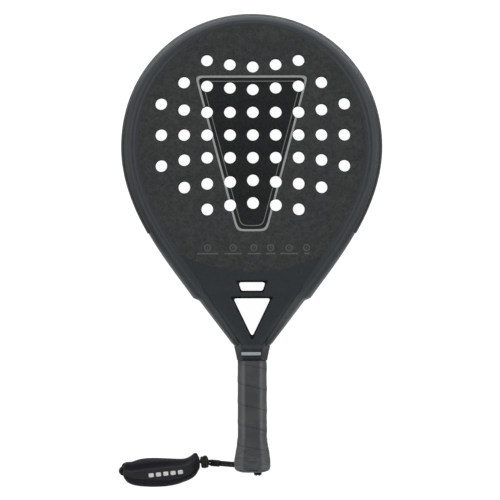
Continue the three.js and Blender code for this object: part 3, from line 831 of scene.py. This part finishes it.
def face_core():
    heights = (THICKNESS - SKIN - CORE_GAP, SKIN + CORE_GAP)
    rims = [[[(x, y, z) for x, y in loop] for z in heights] for loop in (face_outline(), *holes())]
    return slab("face_core", rims)


def bridge_height(x, y):
    return MID + half_height(y)


def bridge_shell(name):
    foot = MID + CORE_GAP
    rims = [rim(bridge_outline(), ((0, 0),), bridge_height, foot)]
    rims += [rim(opening_loop(*sizes), OPENING_BEVEL, bridge_height, foot) for *sizes, _ in OPENINGS]
    return slab(name, rims, bridge_height, 3, 50)


# Handle, with y, half width and half depth in each row of these tables

FLARE = (
    (-227, 17, 14.4), (-223, 17.9, 15.1), (-217, 18.1, 15.3), (-213, 17.8, 15.1), (-207.5, 16.9, 14.8),
    (-200, 15.6, 14.3), (-192, 14.6, 13.9), (-116, 14.55, 13.9),
)
COLLAR = (
    (-116.3, 13.2, 12.6), (-115.95, 14.5, 14.1), (-115.5, 15.05, 14.62), (-114.8, 15.15, 14.7),
    (-112.4, 15.6, 14.95), (-112, 15.5, 14.85), (-111.6, 15.75, 15.05), (-109, 16.3, 15.35),
    (-107, 16.7, 15.6), (-105, 17.15, 15.85), (-104, 17.45, 15.75), (-103, 17.6, 15.3),
    (-101.8, 17.7, 14.75), (-100.4, 17.8, 14.35), (-98.8, 17.9, 13.9), (-103.3, 16.2, 13.2),
    (-106, 15.3, 14.2), (-112, 14.1, 13.4), (-115.4, 13.6, 13),
)
RING = 112
WRAP_PITCH = 20.3
WRAP_START_Y = -122
WRAP_END_Y = -226.05
WRAP_STEP = 0.62
CAP_SIZE = (15.9, 13.7)
CAP_ROOT_Y = -221.5
MOUTH = rounded(((0.9, -4.9), (9.7, -4.9), (9.7, 1.9), (0.9, 1.9)), 1.8)
# The mouth's lining, from inside the cap out and back in: how far inside the mouth's edge, and y
LINING = (
    (0.1, -226), (0, -228.6), (0.1, -229.3), (0.5, -229.8), (1, -229.95), (1.5, -229.8), (1.7, -229.2),
    (1.75, -226),
)


def octagon_ring(half_width, half_depth, flat, corner, count):
    """Evenly spaced (x, z) points round a soft octagon, from the middle of its underside."""
    quarter = ((flat * half_width, half_depth), (half_width, flat * half_depth))
    right = [(x, -z) for x, z in quarter] + list(reversed(quarter))
    loop = rounded(right + mirrored(right), corner)
    return spaced(np.array([(0, -half_depth), *loop, (0, -half_depth)]), count, False)


def wrap_relief(y, share):
    """Height of the wound tape's surface, and how close the point is to a seam, from 0 to 1."""
    phase = ((y - WRAP_START_Y) / WRAP_PITCH - (share - 0.5)) % 1
    wander = 0.25 * noise.noise((share * 5, y / 12, 3))
    edge = ease(0, 0.035, phase)
    lap = 1 - ease(0.16, 0.3, phase + wander * 0.1)
    seam = exp(-((phase - 0.012) / 0.016) ** 2) + exp(-((phase - 1.012) / 0.016) ** 2)
    ruffle = 0.3 * noise.noise((share * 7, y / 1.9, 9)) * ease(-194, -212, y)
    pinch = ease(0.24, 0.33, share) * ease(0.47, 0.41, share)
    ruffle += 0.3 * pinch * max(0, noise.noise((share * 16, y / 3.2, 5)))
    return 0.2 * edge * lap + 0.1 * edge * (1 - phase) - 0.12 * seam + 0.12 * wander + ruffle, min(seam, 1)


def grip():
    """The wound tape, from its lip at the collar to where it rolls in round the butt."""
    ys = np.arange(WRAP_TOP_Y - 0.1, WRAP_END_Y, -WRAP_STEP)
    rows, seams, sides = [], [], []
    for number, y in enumerate(ys):
        width, depth = (value_at(FLARE, y, column) for column in (1, 2))
        roll = ease(-221.5, -226.6, y) ** 2
        lip = 0.5 * max(0, 1 - number / 2) ** 2
        row = []
        for j, (x, z) in enumerate(octagon_ring(width, depth, 0.5, 3.1, RING)):
            relief, seam = wrap_relief(y, j / RING)
            out = Vector((x / width, z / depth)).normalized()
            reach = relief * (1 - roll) - lip - 2.2 * roll - 0.22
            row.append((x + out.x * reach, y, MID + z + out.y * reach))
            seams.append(seam)
            # Share of the side facets, which the tape's material paints in shade
            sides.append(ease(0.6, 0.86, abs(x) / width))
        rows.append(row)
    for end, inset, shrink in ((-1, 0.2, 0.94), (-1, 2, 0.93), (0, -1, 0.93), (0, -0.1, 0.955)):
        rows.append([(x * shrink, ys[end] + inset, MID + (z - MID) * shrink) for x, _, z in rows[end]])
    verts, faces = rows_mesh(rows, joined=True)
    inner = [0.0] * (len(verts) - len(seams))
    return solid("grip_tape", verts, faces, 60, seam=seams + inner, side=sides + inner)


def collar():
    """The tapered rubber sleeve, with rolled lips at both ends."""
    rings = [(y, octagon_ring(width, depth, 0.62, 2.6, RING)) for y, width, depth in COLLAR]
    rows = [[(x, y, MID + z) for x, z in ring] for y, ring in rings]
    return solid("collar", *rows_mesh(rows, joined=True), 50)


def cap():
    """The butt cap's domed end, with the mouth that the cord comes out of. Built facing up, then turned."""
    def dome(x, z):
        share = (abs(x / CAP_SIZE[0]) ** 3 + abs(z / CAP_SIZE[1]) ** 3) ** (1 / 3)
        return -BUTT_Y - 2.6 * share ** 5

    rims = [
        rim(octagon_ring(*CAP_SIZE, 0.5, 3.2, 96), ((0.6, 0), (0.15, 0.1), (0, 0.5)), dome, -CAP_ROOT_Y),
        rim(MOUTH, ((-0.9, 0), (-0.6, 0.08), (-0.2, 0.4), (0, 1)), dome, -CAP_ROOT_Y),
    ]
    obj = slab("butt_end", rims, dome, 1.1, 50)
    obj.data.transform(Matrix.Translation((0, 0, MID * MM)) @ Matrix.Rotation(pi / 2, 4, "X"))
    return obj


def grommet():
    """Soft sleeve that lines the mouth of the butt cap round both strands."""
    loop = shrunk(MOUTH, 0.5)
    rows = [[(x, y, MID + z) for x, z in shrunk(loop, inset)] for inset, y in LINING]
    return solid("cord_grommet", *rows_mesh(rows, joined=True), 60)


# Wrist strap: the cord's route is the CAD model's

CORD_MIDDLE_X = 5.3
CORD_SPACING = 1.55
CORD_STEP = 0.5
ROOT = ((-216, 19), (-219.6, 19), (-223.5, 19), (-226.5, 18.2), (-228.7, 16), (-229.5, 13), (-229.5, 9))
STRAND_LEFT = (
    (3.75, -229.5, 7.6), (3.28, -228.85, 4.6), (1.99, -227.07, 2.4), (0.22, -224.65, 1.6),
    (-1.6, -223.1, 1.6), (-4.15, -222.4, 1.6), (-8, -222.15, 1.75), (-13, -221.75, 2.4), (-19, -221.25, 2.9),
    (-31, -220.2, 2.95), (-43, -219.2, 2.95),
)
STRAND_RIGHT = (
    (6.85, -229.5, 7.6), (6.66, -228.72, 4.6), (6.12, -226.59, 2.4), (5.4, -223.68, 1.6), (3.5, -220.8, 1.6),
    (0.06, -219.45, 1.6), (-4, -219.4, 1.6), (-8, -219.28, 1.75), (-13, -218.95, 2.4), (-19, -218.5, 2.9),
    (-31, -217.45, 2.95), (-43, -216.4, 2.95),
)
LOOP = (
    (-51.9, -216.6, 7.2), (-54.5, -217.6, 7.6), (-60, -220.6, 7.9), (-70, -224.4, 8), (-84, -226.3, 8.2),
    (-100, -226.6, 8.3), (-112, -225.6, 8.3), (-121, -223.2, 8.3), (-126.3, -221.8, 8.3), (-130, -223, 7.3),
    (-131.6, -225.9, 5), (-130, -228.8, 2.7), (-126.3, -230, 1.7), (-120, -230.3, 1.65), (-110, -229.5, 1.65),
    (-95, -227.9, 1.65), (-80, -226.2, 1.65), (-68, -223.8, 1.65), (-60, -220.6, 1.7), (-55, -218.3, 2.2),
    (-52, -217.3, 2.9),
)
KNOT = (-48, -217.3, 5)
KNOT_LOCK = (
    (-49.9, -219.4, 4.4), (-50, -216, 7.2), (-48.6, -213.2, 7.6), (-46.9, -211.9, 5.6), (-45.4, -213.6, 7.4),
    (-44.9, -217, 7.9), (-45.6, -220.4, 6.4), (-47.5, -221.6, 4.2),
)
YARNS = 4
YARN_PITCH = 4.6
BEAD_PLACE = (-37, -218.45, 2.95)
BEAD_TURN = -0.078


def cord_root(side):
    return [(CORD_MIDDLE_X + side * CORD_SPACING, y, z) for y, z in ROOT]


def cord_path():
    """The whole cord, from inside the butt cap through the wristband and back."""
    there = [*cord_root(-1), *STRAND_LEFT, KNOT]
    back = [*cord_root(1), *STRAND_RIGHT, KNOT][::-1]
    return spline([*there, *LOOP, *back], CORD_STEP)


def weave(i, angle):
    """Height of the braid at point i of a cord, from 0 between the yarns to 1 on them."""
    turn = 2 * pi * i * CORD_STEP / YARN_PITCH
    return 0.5 + 0.5 * max(sin(YARNS * angle + turn), sin(YARNS * angle - turn))


def braided(name, paths, sides=20):
    """Tubes of braided cord, each with rounded ends."""
    tubes, relief = [], []
    for path in paths:
        def radius(i, angle):
            from_end = min(i, len(path) - 1 - i) * CORD_STEP / (CORD_DIAMETER / 2)
            rounding = sqrt(max(1 - (1 - min(from_end, 1)) ** 2, 0.02))
            return (CORD_DIAMETER / 2 - 0.11 + 0.12 * weave(i, angle)) * rounding

        tubes.append(rows_mesh(tube(path, radius, sides)))
        relief += [weave(i, 2 * pi * j / sides) for i in range(len(path)) for j in range(sides)]
    return solid(name, *merged(tubes), 80, relief=relief)


def knot_paths(turns=3, turn_steps=14):
    """Tight turns round both strands, and one strand that locks over them."""
    steps = turns * turn_steps
    points = []
    for i in range(steps + 1):
        angle = 2 * pi * (i / turn_steps) - pi / 2
        wide = 4.1 + 0.9 * sin(pi * i / steps)
        turn = (6.4 * i / steps - 2.9, wide * cos(angle), 3.1 * sin(angle) - 0.1)
        points.append(Vector(KNOT) + Vector(turn))
    return [spline(points, CORD_STEP), spline(KNOT_LOCK, CORD_STEP)]


def slider(rings=75):
    """The oval bead that pinches both strands, with rounded ends and fine grip rings."""
    length, half_width, half_depth, ring_pitch, end_rounding = 9.3, 3.4, 2.46, 1.15, 1.1
    section = rounded(((-1, -1), (1, -1), (1, 1), (-1, 1)), 0.9, 12)
    rows = []
    for share in np.linspace(0, 1, rings):
        from_middle = abs(2 * share - 1)
        end = min(1, (1 - from_middle) * length / 2 / end_rounding)
        groove = 0.5 + 0.5 * cos(2 * pi * share * length / ring_pitch)
        scale = 0.72 + 0.28 * sqrt(1 - (1 - end) ** 2) - 0.03 * groove * ease(0.75, 0.6, from_middle)
        x = (share - 0.5) * length
        rows.append([(x, u * half_width * scale, w * half_depth * scale) for u, w in section])
    obj = solid("strap_slider", *rows_mesh(rows), 50)
    obj.data.transform(Matrix.Translation(Vector(BEAD_PLACE) * MM) @ Matrix.Rotation(BEAD_TURN, 4, "Z"))
    return obj


# Padded wristband: x, lower edge, upper edge and how far the ends lift off the floor

BAND = (
    (-128.7, -231.7, -221, 0.9), (-127.2, -234.7, -218, 0.7), (-124.5, -237.9, -216.3, 0.4),
    (-120, -240.3, -216, 0.15), (-114, -241.7, -214, 0), (-106.5, -242.4, -212.6, 0),
    (-97, -242.7, -212.2, 0), (-84, -241.9, -212.6, 0), (-74.3, -240, -213.1, 0), (-68, -237.6, -213, 0),
    (-64, -236.2, -211.7, 0), (-60.2, -234.4, -209.5, 0.1), (-57.6, -232.5, -207.4, 0.3),
    (-55.8, -230.6, -207, 0.5), (-54.4, -228.4, -208.1, 0.7), (-53.2, -226.2, -210.7, 0.85),
    (-51.7, -223.6, -213.7, 1),
)
# Sewn lines: x, and share of the half width
FOLD = ((-126, 0.2), (-110, 0.25), (-84, 0.42), (-62, 0.5), (-54, 0.5))
SEAM_LINE = ((-126, -0.46), (-110, -0.5), (-84, -0.6), (-62, -0.56), (-54, -0.5))
# The pad's side: share of the half width, and share of the height
CROWN = ((0.97, 0.09), (1, 0.32), (0.96, 0.6), (0.8, 0.84), (0.45, 0.96))
FABRIC_VOXEL = 1.7
FILLING_PRESSURE = 4
FILLING_FRAMES = 20
SWELL = 1.1
STITCH_LENGTH = 1.7
STITCH_PITCH = 2.6
THREAD_RADIUS = 0.3


def line_at(line, x):
    """Y of a sewn line."""
    low, high = (value_at(BAND, x, column) for column in (1, 2))
    return (low + high) / 2 + value_at(line, x) * (high - low) / 2


def band_section(low, high, lift):
    """Closed (y, z) outline: flat underneath with an arch for the cord, crowned on top."""
    middle, half = (low + high) / 2, (high - low) / 2
    foot, arch, top = 0.4 + 4.2 * lift, 4.4 + 0.3 * lift, 11.9 - 1.2 * lift
    right = [(0.48, arch - 0.3 * (1 - lift)), (0.62, foot + 0.1), (0.85, foot)]
    right += [(u, foot + rise * (top - foot)) for u, rise in CROWN]
    loop = [(0, arch), *right, (0, top), *mirrored(right)]
    return [(middle + u * half, z) for u, z in loop]


def coordinates(mesh):
    flat = np.empty(len(mesh.vertices) * 3)
    mesh.vertices.foreach_get("co", flat)
    return flat.reshape(-1, 3) / MM


def set_coordinates(mesh, points):
    mesh.vertices.foreach_set("co", (points * MM).ravel())


def evaluated(obj):
    """Gives the object a new mesh with its modifiers applied, and takes them off."""
    mesh = bpy.data.meshes.new_from_object(obj.evaluated_get(bpy.context.evaluated_depsgraph_get()))
    obj.modifiers.clear()
    obj.data = mesh


def puffed(obj):
    """Remeshes the pad, lets its filling push the cloth out, by less near the floor, and smooths it."""
    even = obj.modifiers.new("even", "REMESH")
    even.mode = "VOXEL"
    even.voxel_size = FABRIC_VOXEL * MM
    evaluated(obj)
    rest = coordinates(obj.data)
    cloth = obj.modifiers.new("filling", "CLOTH").settings
    cloth.use_pressure = True
    cloth.uniform_pressure_force = FILLING_PRESSURE
    cloth.effector_weights.gravity = 0
    for number in range(1, FILLING_FRAMES + 1):
        scene.frame_set(number)
    evaluated(obj)
    push = coordinates(obj.data) - rest
    size = np.maximum(np.linalg.norm(push, axis=1), 1e-6)
    limits = np.array([SWELL * ease(3, 6.5, z) for z in rest[:, 2]])
    moved = rest + push * np.minimum(1, limits / size)[:, None]
    moved[:, 2] = np.maximum(moved[:, 2], 0.2)
    set_coordinates(obj.data, moved)
    scene.frame_set(1)
    obj.modifiers.new("smooth", "SUBSURF").levels = 1
    evaluated(obj)
    return obj


def stitched_relief(point):
    """How far the fabric is pulled in at a point, its share of smooth panel, and its share of painted shade
    in the crease beside the fold and along the seam line.
    """
    x, y, z = point
    top = ease(5.5, 8.5, z)
    fade = ease(-129, -124, x) * ease(-52.5, -57, x)
    fold, seam = y - line_at(FOLD, x), y - line_at(SEAM_LINE, x)
    pull = 0.9 * exp(-(fold / 1.2) ** 2) + 0.7 * exp(-(seam / 0.95) ** 2)
    pull += 1.1 * ease(0, 2, fold) * ease(6.5, 2, fold)
    for line, pitch in ((fold, 5.1), (seam, 3.7)):
        wave = sin(2 * pi * x / pitch + 2.2 * noise.noise((x / 9, line / 3, pitch)))
        pull += 0.16 * wave * exp(-((abs(line) - 1.9) / 1.3) ** 2)
    crease = noise.noise((x / 14 + y / 9, y / 3.4, 1.5))
    pull += 0.45 * max(0, crease - 0.12) * (1 + ease(-72, -58, x))
    panel = ease(-0.2, 0.4, seam) * ease(0.2, -0.4, fold) * ease(-57.5, -62, x)
    valley = ease(-0.6, 1, fold) * ease(6.5, 4, fold) * ease(-60, -68, x)
    # Painted shade: the crease beside the fold and, fainter, the seam line
    dark = max(valley, 0.6 * exp(-(seam / 0.8) ** 2))
    return pull * top * fade, panel * top, dark * top * fade


def wristband():
    rows = [
        [(x, *p) for p in band_section(low + 0.5, high - 0.5, value_at(BAND, x, 3))]
        for x, low, high in spline([station[:3] for station in BAND], 1.2)
    ]
    obj = puffed(solid("wristband", *rows_mesh(rows), 60))
    points = coordinates(obj.data)
    pull, panel, valley = np.array([stitched_relief(point) for point in points]).T
    points[:, 2] -= pull
    set_coordinates(obj.data, points)
    add_layers(obj.data, panel=panel, valley=valley)
    obj.data.shade_smooth()
    return obj


def stitches(surface):
    """Thread stitches along both sewn lines, laid on the wristband's surface."""
    tree = BVHTree.FromObject(surface, bpy.context.evaluated_depsgraph_get())
    threads = []
    for line, offset in ((FOLD, -1.7), (SEAM_LINE, 1.5)):
        for start in np.arange(-122, -62, STITCH_PITCH):
            points = []
            for share, rise in ((0, -0.08), (0.5, 0.12), (1, -0.08)):
                x = start + share * STITCH_LENGTH
                y = line_at(line, x) + offset
                hit = tree.ray_cast(Vector((x, y, 40)) * MM, Vector((0, 0, -1)))[0]
                points.append((x, y, hit.z / MM + rise))
            threads.append(rows_mesh(tube(spline(points, 0.3), lambda i, angle: THREAD_RADIUS, 8)))
    return solid("band_stitches", *merged(threads), 70)


def band_tab():
    """The folded webbing tab at the far end, inside the cord's turn."""
    corners = ((-119, -232.4), (-119, -217), (-125, -216.9), (-129, -218.6), (-131, -223.2), (-130.9, -230.2))
    bevel = ((0.8, 0), (0.45, 0.1), (0.15, 0.4), (0, 1), (0.15, 1.7), (0.5, 2.1))
    return slab("band_tab", [rim(rounded(corners, 2), bevel, lambda x, y: 6.6, 4.2)], sharp_angle=70)


# Build and dress every piece

def dress(obj, material, slot, *replaced, body="racket"):
    """The last thing done to a piece: its material and body, and its CAD nodes. Its slot is not used."""
    obj.data.materials.clear()
    obj.data.materials.append(material)
    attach(obj, body)
    if replaced:
        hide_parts(*replaced)


front_lacquer = lacquer("frame_lacquer", (65, 70, 74), (61, 67, 69))
# The bridge's last colour is painted shade on the bevels of its openings
bridge_paint = lacquer("bridge_lacquer", (52, 58, 62), (54, 60, 63), (14, 15, 17))
braid_yarn = braid()

path = cord_path()
cord = braided("wrist_cord", [path])
cord.data.materials.append(braid_yarn)
knot = braided("strap_knot", knot_paths())
bead = slider()
bead_plastic = plastic("slider_plastic", (30, 31, 33), (38, 40, 41), 0.6, 0.42)
dress(bead, bead_plastic, "slider_plastic", "cord_slider", body="slider")
dress(knot, braid_yarn, "cord_braid", "cord_knot", body="strap")
band_piece = wristband()
dress(band_piece, fabric("band_fabric"), "band_fabric", "wristband_cover", "wristband_foam", body="strap")
dress(stitches(band_piece), thread(), "band_fabric", body="strap")
dress(band_tab(), fabric("band_webbing"), "band_fabric", body="strap")
dress(grommet(), plastic("grommet_rubber", (22, 22, 23), (30, 30, 31), 0.7, 0.55), "cap_plastic")
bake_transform(cord)
strands = ("cord_root_left", "cord_root_right", "cord_strand_left", "cord_strand_right")
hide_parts(*strands, "wrist_loop_cord")

inward = [reach for station in WHOLE for reach, _ in frame_section(station[1])]
head = along_outline("head_frame", WHOLE, frame_section, inward=inward)
dress(head, front_lacquer, "frame_lacquer", "frame_tube")
head_film = along_outline("head_film", [s for s in WHOLE if s[1] > FILM_START_Y], film_section)
dress(head_film, film(), "protector_film", "head_protector")
dress(face_skin("face_front"), grit("face_grit", True), "face_grit", "face_skin_front")
dress(flipped(face_skin("face_back")), grit("face_grit_back", False), "face_grit", "face_skin_back")
core_foam = foam()
dress(face_core(), core_foam, "foam_core", "face_foam_core")
dress(bridge_shell("bridge_front"), bridge_paint, "bridge_lacquer", "bridge_front_shell")
dress(flipped(bridge_shell("bridge_back")), bridge_paint, "bridge_lacquer", "bridge_rear_shell")
dress(grip(), tape(), "grip_tape", "grip_wrap")
dress(collar(), rubber(), "collar_rubber", "grip_collar")
dress(cap(), plastic("cap_plastic", (52, 53, 55), (60, 61, 62)), "cap_plastic", "butt_cap")
for node in ("bridge_foam_core", "handle_filler", "handle_pallet_front", "handle_pallet_back"):
    for material_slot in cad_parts[node].material_slots:
        material_slot.material = core_foam


# Floor and lights

FLOOR_REACH = 6

paper = Finish("floor_paper", 0.1, Emission_Color=(1, 1, 1, 1), Emission_Strength=0.98)
paper_grain = paper.noise(3, 2)
paper.coat(paper_grain, (158, 158, 158), (150, 150, 150))
floor_mesh = bpy.data.meshes.new("floor")
corners = [Vector((x, y, 0)) * FLOOR_REACH for x, y in ((-1, -1), (1, -1), (1, 1), (-1, 1))]
floor_mesh.from_pydata(corners, [], [(0, 1, 2, 3)])
floor_mesh.materials.append(paper.paint(0.9 + paper_grain * 0.05, (paper_grain, 0.05)))
floor = added("floor", floor_mesh)
floor.location.z = -0.0002

for name, place, size, power in (
    ("left_softbox", (-1.6, 0.1, 0.75), (1, 0.7), 16.5),
    ("right_softbox", (1.6, 0.1, 0.75), (1, 0.7), 17.5),
    ("tip_softbox", (0, 1.8, 1), (1.4, 0.6), 12),
):
    light = added(name, bpy.data.lights.new(name, "AREA"))
    light.data.shape = "RECTANGLE"
    light.data.size, light.data.size_y = size
    light.data.energy = power
    light.location = place
    light.rotation_euler = (-Vector(place)).to_track_quat("-Z", "Y").to_euler()
world = bpy.data.worlds.new("studio")
world.use_nodes = True
background = world.node_tree.nodes["Background"].inputs
background["Color"].default_value = (1, 1, 1, 1)
background["Strength"].default_value = 0.15
scene.world = world
